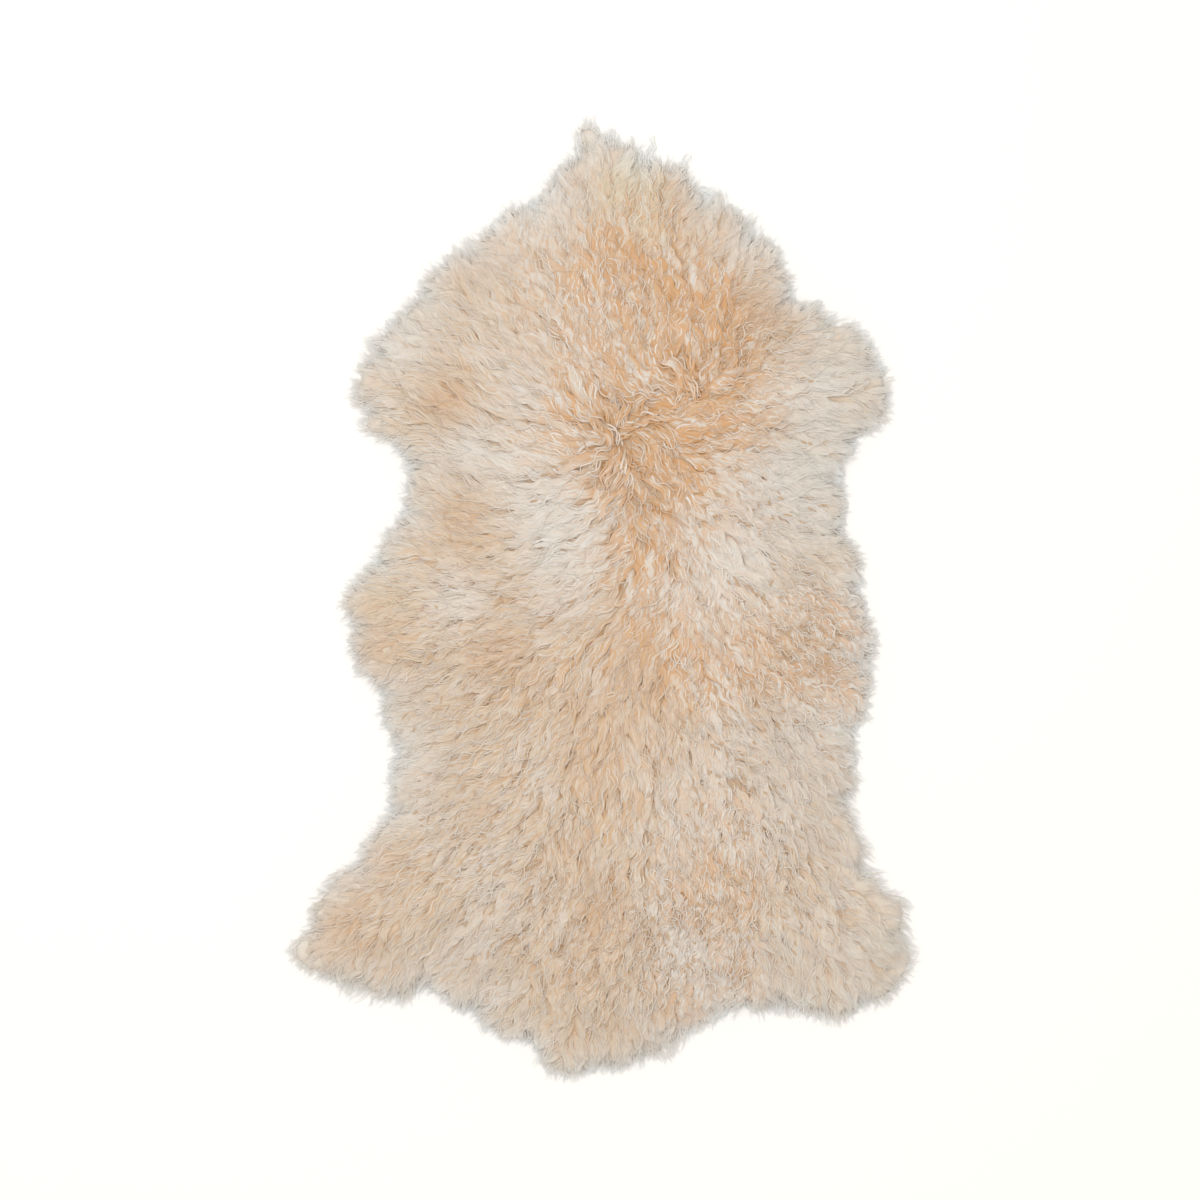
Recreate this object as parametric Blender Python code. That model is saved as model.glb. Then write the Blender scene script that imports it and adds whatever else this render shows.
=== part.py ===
"""Sheepskin rug: one lambskin, tanned with its curly wool on, laid flat with the neck towards +Y.

The pelt is one piece, so it is one solid: a lumpy slab of wool over a thin flat skin, with locks
of wool at its rim that lie out over the floor. Metres, +Z up. The origin is on the floor, under
the middle of the rug's box.
"""

import math
import random

import bmesh
import bpy
import numpy as np
from mathutils import Vector, geometry

MM = 0.001

# Driving sizes
SKIN_THICKNESS = 2 * MM
SKIN_INSET = 46 * MM  # the wool tips reach this far past the skin's cut edge
RIM_INSET = 25 * MM  # and this far past the rim, where the wool parts into locks
PILE_HEIGHT = 42 * MM  # over the back
RIM_HEIGHT = 17 * MM
SHOULDER = 95 * MM  # how far in from the rim the pile takes to reach its height

# How far the wool tips reach round the pelt, clockwise from the neck, in mm from its middle
# (place on the pelt, across, along)
WOOL_REACH = (
    ("neck tip", -9, 486),
    ("neck, right of the tip", 22, 453),
    ("neck, right corner", 84, 438),
    ("neck, right step", 98, 411),
    ("cheek", 150, 381),
    ("cheek, low", 183, 340),
    ("right shoulder dip", 196, 302),
    ("right foreleg, top", 247, 280),
    ("right foreleg, front", 282, 247),
    ("right foreleg, tip", 297, 208),
    ("right foreleg, back", 277, 163),
    ("right armpit", 248, 138),
    ("right ribs", 246, 98),
    ("right ribs, low", 264, 38),
    ("right belly", 268, -8),
    ("right belly, widest", 278, -60),
    ("right belly, low", 267, -106),
    ("right flank", 255, -162),
    ("right flank, low", 259, -232),
    ("right thigh", 283, -282),
    ("right hind leg, front", 308, -316),
    ("right hind leg, tip", 315, -356),
    ("right hind leg, back", 296, -395),
    ("right hind leg, heel", 240, -427),
    ("right of the tail", 186, -417),
    ("right of the tail, low", 112, -422),
    ("tail, right", 74, -452),
    ("tail", -20, -489),
    ("tail, left", -62, -463),
    ("left of the tail", -120, -430),
    ("left notch", -163, -397),
    ("left hind leg, heel", -212, -407),
    ("left hind leg, back", -262, -393),
    ("left hind leg, tip", -314, -366),
    ("left hind leg, front", -297, -317),
    ("left thigh", -262, -270),
    ("left flank, low", -224, -230),
    ("left flank", -212, -172),
    ("left flank, top", -222, -110),
    ("left belly, low", -248, -68),
    ("left belly, widest", -261, -16),
    ("left belly, top", -240, 32),
    ("left ribs", -203, 84),
    ("left armpit", -200, 138),
    ("left foreleg, back", -236, 164),
    ("left foreleg, tip", -253, 202),
    ("left foreleg, front", -240, 243),
    ("left shoulder", -190, 303),
    ("left of the neck", -112, 374),
    ("neck, left step", -58, 411),
    ("neck, left corner", -36, 445),
)

# The wool lies away from the whorl on the shoulders, and from the back line below it
WHORL = np.array((24, 161)) * MM
BACK_LINE_END = np.array((34, -60)) * MM
WHORL_RADIUS = 26 * MM
WHORL_DEPTH = 10 * MM
PARTING_WIDTH = 15 * MM
PARTING_DEPTH = 4 * MM

# The lumps: locks of wool that overlap like shingles
LUMP_SPACING = 31 * MM
LUMP_LENGTH = 74 * MM
LUMP_WIDTH = 34 * MM
LUMP_RISE = 8.5 * MM
LUMP_JITTER = 0.3
SHINGLE_SLOPE = 1.7  # over 1, a lock is highest near its tip

# The locks at the rim, which lie in tufts with their tips together
RIM_LOCKS = 208
TUFT_LOCKS = 5
LOCK_REACH = 28 * MM
TUFT_SPREAD = 0.2  # how much the tufts differ in reach
LOCK_SPREAD = 0.14  # and the locks within a tuft
LOCK_LEAN = 0.35  # how far the lay of the wool turns a lock from straight out
TUFT_SWING = 0.22
TUFT_CLOSING = 0.4  # how far the locks of a tuft turn to its middle
LOCK_TAPER = (  # (share of its reach, width and height as shares of those at its root)
    (0.50, 0.68, 0.58),
    (1.00, 0.15, 0.15),
)

# How finely the outline and the top are divided
CURVE_STEPS = 12
TOP_PITCH = 12.5 * MM
TOP_JITTER = 0.18
DRAW_STEP = 3 * MM
NEAR_RIM = 0.6  # of the pitch: no inner point lies nearer the rim
RIM_SAMPLES = 900

SEED = 7

WOOL_COLOUR = (0.80, 0.66, 0.52, 1)


def even_loop(loop, count):
    """count points, evenly spaced round a closed loop."""
    closed = np.vstack([loop, loop[:1]])
    run = np.concatenate([[0], np.cumsum(np.linalg.norm(np.diff(closed, axis=0), axis=1))])
    at = np.linspace(0, run[-1], count, endpoint=False)
    return np.column_stack([np.interp(at, run, closed[:, k]) for k in (0, 1)])


def smooth_loop(corners, count):
    """count points, evenly spaced round a smooth closed curve through the corners."""
    before, after = np.roll(corners, 1, axis=0), np.roll(corners, -1, axis=0)
    beyond = np.roll(corners, -2, axis=0)
    spans = []
    for t in np.arange(CURVE_STEPS) / CURVE_STEPS:
        spans.append(
            corners
            + (after - before) * t / 2
            + (before - 2.5 * corners + 2 * after - beyond / 2) * t**2
            + (1.5 * (corners - after) + (beyond - before) / 2) * t**3
        )
    return even_loop(np.stack(spans, axis=1).reshape(-1, 2), count)


def outward(loop):
    """The unit vectors that point out of a clockwise loop, one at each of its points."""
    run = np.roll(loop, -1, axis=0) - np.roll(loop, 1, axis=0)
    run /= np.linalg.norm(run, axis=1, keepdims=True)
    return np.column_stack([-run[:, 1], run[:, 0]])


def drawn_in(loop, distance):
    """The loop moved inwards by that distance, a little at a time, eased and evened as it goes."""
    steps = math.ceil(distance / DRAW_STEP)
    for _ in range(steps):
        loop = loop - outward(loop) * distance / steps
        loop = (np.roll(loop, 1, axis=0) + 2 * loop + np.roll(loop, -1, axis=0)) / 4
        loop = even_loop(loop, len(loop))
    return loop


def is_inside(places, loop):
    """Whether each place lies inside the loop: a line from it to the right crosses the loop an odd
    number of times."""
    x, y = places[:, :1], places[:, 1:]
    ax, ay = loop.T
    bx, by = np.roll(loop, -1, axis=0).T
    crosses = (ay > y) != (by > y)
    rise = np.where(by == ay, 1, by - ay)
    return (crosses & (x < ax + (y - ay) * (bx - ax) / rise)).sum(axis=1) % 2 == 1


def distance_to(places, line):
    """How far each place is from the nearest of the line's points."""
    return np.linalg.norm(places[:, None] - line[None], axis=2).min(axis=1)


def scattered(loop, pitch, jitter, clear, chance):
    """Places on an uneven grid inside the loop, at least clear from it."""
    low, high = loop.min(axis=0), loop.max(axis=0)
    row_pitch = pitch * math.sqrt(3) / 2
    places = []
    for row in range(math.ceil((high[1] - low[1]) / row_pitch)):
        for column in range(math.ceil((high[0] - low[0]) / pitch)):
            places.append(
                (
                    low[0] + (column + row % 2 / 2 + chance.uniform(-jitter, jitter)) * pitch,
                    low[1] + (row + chance.uniform(-jitter, jitter)) * row_pitch,
                )
            )
    places = np.array(places)
    places = places[is_inside(places, loop)]
    return places[distance_to(places, even_loop(loop, RIM_SAMPLES)) > clear]


def nearest_on_back(places):
    """The nearest place on the back line, for each of the places."""
    run = BACK_LINE_END - WHORL
    share = np.clip((places - WHORL) @ run / (run @ run), 0, 1)
    return WHORL + share[:, None] * run


def lay_of_wool(places):
    """The way that the wool lies at each place, as unit vectors."""
    away = places - nearest_on_back(places)
    return away / np.maximum(np.linalg.norm(away, axis=1, keepdims=True), MM)


def eased(share):
    share = np.clip(share, 0, 1)
    return share * share * (3 - 2 * share)


def lumps(places, rim, chance):
    """How far the overlapping locks raise the top at each place."""
    centres = scattered(rim, LUMP_SPACING, LUMP_JITTER, 0, chance)
    raised = np.zeros(len(places))
    for centre, lay in zip(centres, lay_of_wool(centres)):
        size = chance.uniform(0.75, 1.15)
        from_centre = places - centre
        along = from_centre @ lay / (LUMP_LENGTH * size) + 0.5
        across = (from_centre @ (-lay[1], lay[0])) / (LUMP_WIDTH * size) + 0.5
        on_it = (along > 0) & (along < 1) & (across > 0) & (across < 1)
        lengthwise = np.sin(np.pi * np.clip(along, 0, 1) ** SHINGLE_SLOPE)
        crosswise = np.sin(np.pi * np.clip(across, 0, 1))
        raised = np.maximum(raised, np.where(on_it, lengthwise * crosswise * size, 0))
    return raised * LUMP_RISE


def top_heights(places, rim, chance):
    """The height of the fleece's top at each place."""
    from_rim = distance_to(places, even_loop(rim, RIM_SAMPLES))
    crown = RIM_HEIGHT + (PILE_HEIGHT - RIM_HEIGHT) * eased(from_rim / SHOULDER) ** 0.7
    to_whorl = np.linalg.norm(places - WHORL, axis=1)
    to_back = np.linalg.norm(places - nearest_on_back(places), axis=1)
    pit = WHORL_DEPTH * np.exp(-((to_whorl / WHORL_RADIUS) ** 2))
    parting = PARTING_DEPTH * np.exp(-((to_back / PARTING_WIDTH) ** 2))
    inside = eased(from_rim / LUMP_SPACING)
    return crown - np.maximum(pit, parting) + (lumps(places, rim, chance) - LUMP_RISE / 2) * inside


def extruded(mesh, edges, loop, height, place):
    """Extrudes the closed run of edges, and moves the new one onto the loop at that height."""
    made = bmesh.ops.extrude_edge_only(mesh, edges=edges)["geom"]
    for vertex in (v for v in made if isinstance(v, bmesh.types.BMVert)):
        vertex.co = (*loop[vertex[place]], height)
    return [e for e in made if isinstance(e, bmesh.types.BMEdge)], [
        f for f in made if isinstance(f, bmesh.types.BMFace)
    ]


def rim_locks(rim, chance):
    """Each lock's middle on the rim, and from there the way to its tip: out, turned by the lay of the
    wool and by its tuft."""
    middles = (rim + np.roll(rim, -1, axis=0)) / 2
    out = outward(middles)
    aside = np.column_stack([out[:, 1], -out[:, 0]])
    turn = (lay_of_wool(middles) * aside).sum(axis=1) * LOCK_LEAN
    pitch = np.linalg.norm(rim[1] - rim[0])
    reaches = np.full(len(rim), LOCK_REACH)
    first = 0
    while first < len(rim):
        tuft = range(first, min(first + chance.choice((-1, 0, 1)) + TUFT_LOCKS, len(rim)))
        swing = chance.uniform(-TUFT_SWING, TUFT_SWING)
        tuft_reach = 1 + chance.uniform(-TUFT_SPREAD, TUFT_SPREAD)
        for lock in tuft:
            reaches[lock] *= tuft_reach + chance.uniform(-LOCK_SPREAD, LOCK_SPREAD)
            from_middle = (lock - (tuft[0] + tuft[-1]) / 2) * pitch
            turn[lock] += swing - from_middle / LOCK_REACH * TUFT_CLOSING
        first = tuft[-1] + 1
    ways = out + aside * turn[:, None]
    return middles, ways * (reaches / np.linalg.norm(ways, axis=1))[:, None]


def draw_out_locks(mesh, walls, rim, place, chance):
    """Draws each face of the rim's wall out into a four-sided lock that tapers and lies on the floor."""
    last = len(rim) - 1
    middles, ways = rim_locks(rim, chance)
    root_tops = {v[place]: v.co.z for f in walls for v in f.verts if v.co.z > 0}
    faces = walls
    for share, width, height in LOCK_TAPER:
        faces = bmesh.ops.extrude_discrete_faces(mesh, faces=faces)["faces"]
        for face in faces:
            sides = {v[place] for v in face.verts}
            lock = last if sides == {0, last} else min(sides)
            for vertex in face.verts:
                side = vertex[place]
                spot = middles[lock] + ways[lock] * share + (rim[side] - middles[lock]) * width
                vertex.co = (*spot, root_tops[side] * height if vertex.co.z > 0 else 0)


def pelt_mesh(rim, skin_edge):
    """The pelt: the wool's top, its locks at the rim and its underside out to them, and the skin's cut
    edge and flat flesh side."""
    chance = random.Random(SEED)
    inner = scattered(rim, TOP_PITCH, TOP_JITTER, NEAR_RIM * TOP_PITCH, chance)
    ring = [(i, (i + 1) % len(rim)) for i in range(len(rim))]
    inside_only = 1
    spots, _, triangles, *_ = geometry.delaunay_2d_cdt(
        [Vector(p) for p in (*rim, *inner)], ring, [], inside_only, MM / 100
    )
    heights = top_heights(np.array([tuple(s) for s in spots]), rim, chance)
    mesh = bmesh.new()
    place = mesh.verts.layers.int.new("place on the rim")
    vertices = [mesh.verts.new((*s, h)) for s, h in zip(spots, heights)]
    for i, vertex in enumerate(vertices):
        vertex[place] = i
    for triangle in triangles:
        mesh.faces.new([vertices[i] for i in triangle])
    edges = [e for e in mesh.edges if e.is_boundary]
    edges, walls = extruded(mesh, edges, rim, 0, place)
    edges, _ = extruded(mesh, edges, skin_edge, SKIN_THICKNESS, place)
    edges, _ = extruded(mesh, edges, skin_edge, 0, place)
    bmesh.ops.edgeloop_fill(mesh, edges=edges)
    draw_out_locks(mesh, walls, rim, place, chance)
    bmesh.ops.recalc_face_normals(mesh, faces=mesh.faces)
    return mesh


def material(name, colour, roughness):
    made = bpy.data.materials.new(name)
    made.use_nodes = True
    surface = made.node_tree.nodes["Principled BSDF"]
    surface.inputs["Base Color"].default_value = colour
    surface.inputs["Roughness"].default_value = roughness
    surface.inputs["Metallic"].default_value = 0
    return made


def main():
    for old in list(bpy.data.objects):
        bpy.data.objects.remove(old)
    reach = smooth_loop(np.array([row[1:] for row in WOOL_REACH]) * MM, 2 * RIM_LOCKS)
    rim = even_loop(drawn_in(reach, RIM_INSET), RIM_LOCKS)
    skin_edge = even_loop(drawn_in(reach, SKIN_INSET), RIM_LOCKS)
    mesh = pelt_mesh(rim, skin_edge)
    corners = np.array([v.co[:2] for v in mesh.verts])
    middle = (corners.min(axis=0) + corners.max(axis=0)) / 2
    bmesh.ops.translate(mesh, vec=(*-middle, 0), verts=mesh.verts)
    data = bpy.data.meshes.new("sheepskin")
    mesh.to_mesh(data)
    mesh.free()
    data.materials.append(material("wool", WOOL_COLOUR, 0.9))
    bpy.context.scene.collection.objects.link(bpy.data.objects.new("sheepskin", data))


main()
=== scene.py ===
import itertools
import math
from functools import reduce

import bmesh
import bpy
import numpy as np
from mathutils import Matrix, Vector
from mathutils.bvhtree import BVHTree


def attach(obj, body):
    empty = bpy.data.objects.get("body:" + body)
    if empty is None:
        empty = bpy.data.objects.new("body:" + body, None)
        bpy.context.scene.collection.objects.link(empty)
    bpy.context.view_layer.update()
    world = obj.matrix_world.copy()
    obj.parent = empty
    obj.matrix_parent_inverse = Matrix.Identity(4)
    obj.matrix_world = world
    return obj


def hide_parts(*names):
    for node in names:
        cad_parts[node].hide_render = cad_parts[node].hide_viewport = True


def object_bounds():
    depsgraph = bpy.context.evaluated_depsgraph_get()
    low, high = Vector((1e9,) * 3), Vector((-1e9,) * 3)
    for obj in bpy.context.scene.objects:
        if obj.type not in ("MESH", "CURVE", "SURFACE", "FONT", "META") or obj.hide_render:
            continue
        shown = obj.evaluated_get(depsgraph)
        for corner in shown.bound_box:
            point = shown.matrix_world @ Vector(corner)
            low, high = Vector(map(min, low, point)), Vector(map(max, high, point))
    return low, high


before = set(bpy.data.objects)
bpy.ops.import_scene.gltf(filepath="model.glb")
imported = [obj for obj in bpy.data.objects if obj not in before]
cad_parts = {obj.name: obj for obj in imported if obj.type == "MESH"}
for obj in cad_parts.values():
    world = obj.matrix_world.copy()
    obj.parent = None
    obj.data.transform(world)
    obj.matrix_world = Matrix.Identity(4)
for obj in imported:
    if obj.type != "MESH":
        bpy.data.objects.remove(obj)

MM = 0.001
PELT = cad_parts["sheepskin"]
CAD_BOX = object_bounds()

# ---------------------------------------------------------------------------------------------
# The tanned skin. The pelt's own hide, about 2 mm thick, alum tanned to a soft cream nap on the
# flesh side that lies on the floor. It is trimmed all round, inside the reach of the wool.
# ---------------------------------------------------------------------------------------------
SKIN_THICKNESS = 2 * MM
SKIN_EDGE_ROUND = 0.6 * MM
SKIN_CREAM = (0.62, 0.50, 0.36, 1)
SKIN_TAN = (0.46, 0.33, 0.21, 1)
FACES_DOWN = -0.99  # the most that the normal of a level underside points upwards
SAME_PLACE = 0.01 * MM  # points this near each other are one


def solid_of(node):
    """The node's solid as one welded bmesh."""
    solid = bmesh.new()
    solid.from_mesh(node.data)
    bmesh.ops.remove_doubles(solid, verts=solid.verts, dist=SAME_PLACE)
    solid.normal_update()
    return solid


def flesh_side_outline(solid):
    """The points round the flat face under the pelt's middle: its flat faces are walked outwards
    from the one over the origin, and their open edges are put in order."""
    level = [f for f in solid.faces if f.normal.z < FACES_DOWN]
    start = min(level, key=lambda f: f.calc_center_median().length)
    flat, walked = {start}, [start]
    for step in walked:
        for face in (face for edge in step.edges for face in edge.link_faces):
            if face not in flat and face.normal.z < FACES_DOWN:
                flat.add(face)
                walked.append(face)
    rim = [e for f in walked for e in f.edges if sum(face in flat for face in e.link_faces) == 1]
    next_to = {}
    for edge in rim:
        a, b = edge.verts
        next_to.setdefault(a, []).append(b)
        next_to.setdefault(b, []).append(a)
    line = [rim[0].verts[0], next_to[rim[0].verts[0]][0]]
    while len(line) < len(next_to):
        line.append(next(v for v in next_to[line[-1]] if v is not line[-2]))
    return np.array([v.co[:2] for v in line])


def in_scene(name, data):
    """A new object of this data, in the scene."""
    made = bpy.data.objects.new(name, data)
    bpy.context.scene.collection.objects.link(made)
    return made


def new_object(name, mesh, material):
    """A new object of this mesh, in one material."""
    mesh.materials.clear()
    mesh.materials.append(material)
    return in_scene(name, mesh)


def fixed_to_pelt(piece):
    """Tells the frame that a piece belongs to the pelt, and hides the pelt's solid."""
    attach(piece, "root")
    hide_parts("sheepskin")


def new_material(name, roughness, sheen=0.0):
    """A material, its nodes and its Principled shader, matt and without metal."""
    made = bpy.data.materials.new(name)
    made.use_nodes = True
    shader = made.node_tree.nodes["Principled BSDF"]
    shader.inputs["Roughness"].default_value = roughness
    shader.inputs["Specular IOR Level"].default_value = 0.5
    shader.inputs["Sheen Weight"].default_value = sheen
    shader.inputs["Sheen Roughness"].default_value = 0.4
    return made, made.node_tree, shader


def grow(tree, kind, inputs=None, **settings):
    """A new node in a tree. inputs are its sockets by name or number, each a value or an output."""
    made = tree.nodes.new(kind)
    for name, value in settings.items():
        setattr(made, name, value)
    for name, value in (inputs or {}).items():
        socket = made.inputs[name]
        if isinstance(value, bpy.types.NodeSocket):
            tree.links.new(value, socket)
        else:
            socket.default_value = value
    return made


def noise(tree, where, grains, detail, roughness=0.5):
    """Noise of that many grains a metre, as a number from 0 to 1."""
    sockets = {"Vector": where, "Scale": grains, "Detail": detail, "Roughness": roughness}
    return grow(tree, "ShaderNodeTexNoise", sockets).outputs["Fac"]


def mixed(tree, share, first, second):
    """Two colours, mixed by a share from 0 to 1."""
    return grow(tree, "ShaderNodeMix", {0: share, 6: first, 7: second}, data_type="RGBA").outputs[2]


def ranged(tree, value, low, high, to_low=0.0, to_high=1.0):
    """value, from its own range to another, kept inside it and eased at both ends."""
    sockets = {"Value": value, "From Min": low, "From Max": high, "To Min": to_low, "To Max": to_high}
    made = grow(tree, "ShaderNodeMapRange", sockets, interpolation_type="SMOOTHSTEP")
    return made.outputs["Result"]


def raised(tree, shader, height, strength, depth):
    """Gives the shader a bump of this height, from 0 to 1, and that depth."""
    bump = grow(tree, "ShaderNodeBump", {"Strength": strength, "Distance": depth, "Height": height})
    tree.links.new(bump.outputs["Normal"], shader.inputs["Normal"])


def suede():
    """Napped flesh side: cream with tan clouds, and a fine nap that catches the light."""
    made, tree, shader = new_material("suede_flesh_side", roughness=0.85, sheen=0.25)
    where = grow(tree, "ShaderNodeTexCoord").outputs["Object"]
    clouds = ranged(tree, noise(tree, where, grains=9, detail=4), low=0.35, high=0.7)
    tree.links.new(mixed(tree, clouds, SKIN_CREAM, SKIN_TAN), shader.inputs["Base Color"])
    nap = noise(tree, where, grains=900, detail=6, roughness=0.7)
    raised(tree, shader, nap, strength=0.35, depth=0.4 * MM)
    return made


pelt_solid = solid_of(PELT)
skin_outline = flesh_side_outline(pelt_solid)
skin_mesh = bmesh.new()
flesh_side = skin_mesh.faces.new([skin_mesh.verts.new((*p, 0)) for p in skin_outline])
extruded = bmesh.ops.extrude_face_region(skin_mesh, geom=[flesh_side])["geom"]
for vertex in (v for v in extruded if isinstance(v, bmesh.types.BMVert)):
    vertex.co.z = SKIN_THICKNESS
cut_edges = [e for e in skin_mesh.edges if abs(e.verts[0].co.z - e.verts[1].co.z) < SAME_PLACE]
bmesh.ops.bevel(skin_mesh, geom=cut_edges, offset=SKIN_EDGE_ROUND, segments=2, affect="EDGES")
bmesh.ops.triangulate(skin_mesh, faces=[f for f in skin_mesh.faces if len(f.verts) > 4])
bmesh.ops.recalc_face_normals(skin_mesh, faces=skin_mesh.faces)
skin_data = bpy.data.meshes.new("tanned_skin")
skin_mesh.to_mesh(skin_data)
skin_mesh.free()
skin = new_object("tanned_skin", skin_data, suede())
fixed_to_pelt(skin)

# ---------------------------------------------------------------------------------------------
# The down. Under the locks, the fine wool at the skin is matted to a dense apricot mass that
# closes the pelt between them. It fills the body of the fleece and thins out to the rim.
# ---------------------------------------------------------------------------------------------
GRID = 4 * MM  # of the charts of the pelt's height and of how far its rim is
GRID_MARGIN = 60 * MM
RIM_BLUR = 6 * MM  # evens out the notches between the locks at the rim
DOWN_PITCH = 8 * MM
DOWN_FROM_RIM = 9.5 * MM  # how far inside the tips of the wool the down ends
DOWN_SHARE = 0.92  # of the fleece's height
DOWN_FLOOR = SKIN_THICKNESS + 0.4 * MM
DOWN_THINNEST = 2 * MM
DOWN_RIM_THICKNESS = 1 * MM
DOWN_APRICOT = (0.655, 0.482, 0.335, 1)
DOWN_CREAM = (0.71, 0.588, 0.458, 1)
DOWN_PALE = (0.74, 0.765, 0.765, 1)
RIM_FADE = 17 * MM  # how far in from the rim the wool is still pale
WOOL_PAST_SOLID = 6.5 * MM
# Where the wool reaches further past the solid's rim than elsewhere, or less far: (place, across,
# along, reach round it and how much further, all in mm)
REACHES = (
    ("neck tip", -24, 480, 16, 20),
    ("neck, top", 8, 476, 10, 3),
    ("neck", 42, 461, 9, 10),
    ("neck, right", 80, 438, 9, 9),
    ("right of the neck", 111, 413, 9, 9),
    ("right cheek", 150, 390, 12, 10),
    ("right cheek, low", 180, 340, 14, -4),
    ("before the right foreleg", 195, 304, 14, -8),
    ("right foreleg, top", 246, 286, 22, 8),
    ("right foreleg, end", 286, 229, 14, 5),
    ("right foreleg", 280, 182, 16, 8),
    ("behind the right foreleg", 238, 140, 18, -10),
    ("right ribs", 262, -12, 14, -4),
    ("right belly", 270, -60, 14, 8),
    ("right belly, low", 260, -92, 10, -4),
    ("right flank", 246, -155, 12, -6),
    ("right flank, low", 248, -200, 14, 3),
    ("over the right hind leg", 272, -262, 12, 9),
    ("right hind leg", 305, -350, 28, 9),
    ("right hind leg, corner", 268, -402, 12, 5),
    ("right hind leg, below", 226, -418, 14, 4),
    ("right of the tail, below", 180, -410, 12, 8),
    ("right of the tail", 136, -400, 11, -14),
    ("tail, right", 64, -446, 16, 14),
    ("tail, left", -75, -445, 18, -7),
    ("left of the tail", -170, -390, 16, -8),
    ("left thigh, below", -200, -398, 12, 10),
    ("left hind leg, below", -258, -394, 15, 13),
    ("left hind leg", -316, -345, 22, 15),
    ("left hind leg, top", -274, -264, 16, 8),
    ("left flank, low", -242, -235, 18, -7),
    ("left flank", -225, -195, 25, -1),
    ("left belly", -238, -80, 14, -4),
    ("left ribs", -210, 110, 20, -4),
    ("behind the left foreleg", -210, 158, 12, -9),
    ("left foreleg, low", -246, 180, 14, 9),
    ("left foreleg", -256, 208, 14, 10),
    ("left shoulder", -240, 266, 14, 11),
    ("left shoulder, top", -190, 318, 14, 4),
    ("left cheek, top", -146, 366, 14, 8),
    ("left cheek", -165, 340, 18, -5),
    ("left of the neck", -112, 384, 16, -7),
)
HARDLY_ANY = 1e-6

chart_start = np.array(CAD_BOX[0][:2]) - GRID_MARGIN
chart_end = np.array(CAD_BOX[1][:2]) + GRID_MARGIN
chart_x = np.arange(chart_start[0], chart_end[0], GRID)
chart_y = np.arange(chart_start[1], chart_end[1], GRID)
chart_spots = np.stack(np.meshgrid(chart_x, chart_y, indexing="ij"), axis=-1)


def blurred(chart, reach):
    """The chart, softened evenly both ways by a bell of that reach."""
    steps = np.arange(-int(3 * reach / GRID), int(3 * reach / GRID) + 1)
    bell = np.exp(-((steps * GRID / reach) ** 2) / 2)
    bell /= bell.sum()
    for axis in (0, 1):
        chart = np.apply_along_axis(lambda row: np.convolve(row, bell, mode="same"), axis, chart)
    return chart


def read_chart(chart, places):
    """The chart's values at places, in between its points as well."""
    at = (places - (chart_x[0], chart_y[0])) / GRID
    at = np.clip(at, 0, np.array(chart.shape) - 1.001)  # inside the last cell
    i, j = at.astype(int).T
    u, v = (at - at.astype(int)).T
    return (
        chart[i, j] * (1 - u) * (1 - v)
        + chart[i + 1, j] * u * (1 - v)
        + chart[i, j + 1] * (1 - u) * v
        + chart[i + 1, j + 1] * u * v
    )


def charted(solid):
    """Charts of the solid's height, and of how far inside its rim a place is (outside is under 0)."""
    tree = BVHTree.FromBMesh(solid)
    above, down = CAD_BOX[1][2] + GRID_MARGIN, Vector((0, 0, -1))
    hits = [[tree.ray_cast(Vector((x, y, above)), down)[0] for y in chart_y] for x in chart_x]
    height = np.array([[0 if hit is None else hit.z for hit in row] for row in hits])
    inside = blurred((height > 0).astype(float), RIM_BLUR) > 0.5
    near = inside != np.roll(inside, 1, axis=0)
    near |= inside != np.roll(inside, 1, axis=1)
    rim = chart_spots[near] - GRID / 2
    away = np.array([np.linalg.norm(row[:, None] - rim[None], axis=2).min(axis=1) for row in chart_spots])
    return height, np.where(inside, away, -away)


def bell(places, across, along, reach):
    """1 at the spot that is given in mm, and less round it, by a bell of that reach in mm."""
    off = np.linalg.norm(places - np.array((across, along)) * MM, axis=-1) / (reach * MM)
    return np.exp(-(off**2))


height_chart, depth_chart = charted(pelt_solid)
pelt_solid.free()
height_chart = blurred(height_chart, GRID)
depth_chart = blurred(depth_chart, GRID)
inward_chart = np.stack(np.gradient(depth_chart, GRID), axis=-1)
depth_chart += WOOL_PAST_SOLID
for _, *spot, further in REACHES:
    depth_chart += further * MM * bell(chart_spots, *spot)


def unit(ways):
    """The ways at the length of one, but for those with hardly any length."""
    return ways / np.maximum(np.linalg.norm(ways, axis=1, keepdims=True), HARDLY_ANY)


def inward(places):
    """The way away from the nearest rim, as unit vectors."""
    return unit(np.stack([read_chart(inward_chart[..., k], places) for k in (0, 1)], axis=-1))


def near_rim(places, reach):
    """1 at the wool's rim and past it, and less the further inside a place is."""
    return np.exp(-np.clip(read_chart(depth_chart, places), 0, None) / reach)


def write_on(mesh, name, values):
    """Puts a number on each point of the mesh, under that name."""
    mesh.attributes.new(name, "FLOAT", "POINT").data.foreach_set("value", values.astype(np.float32))


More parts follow.
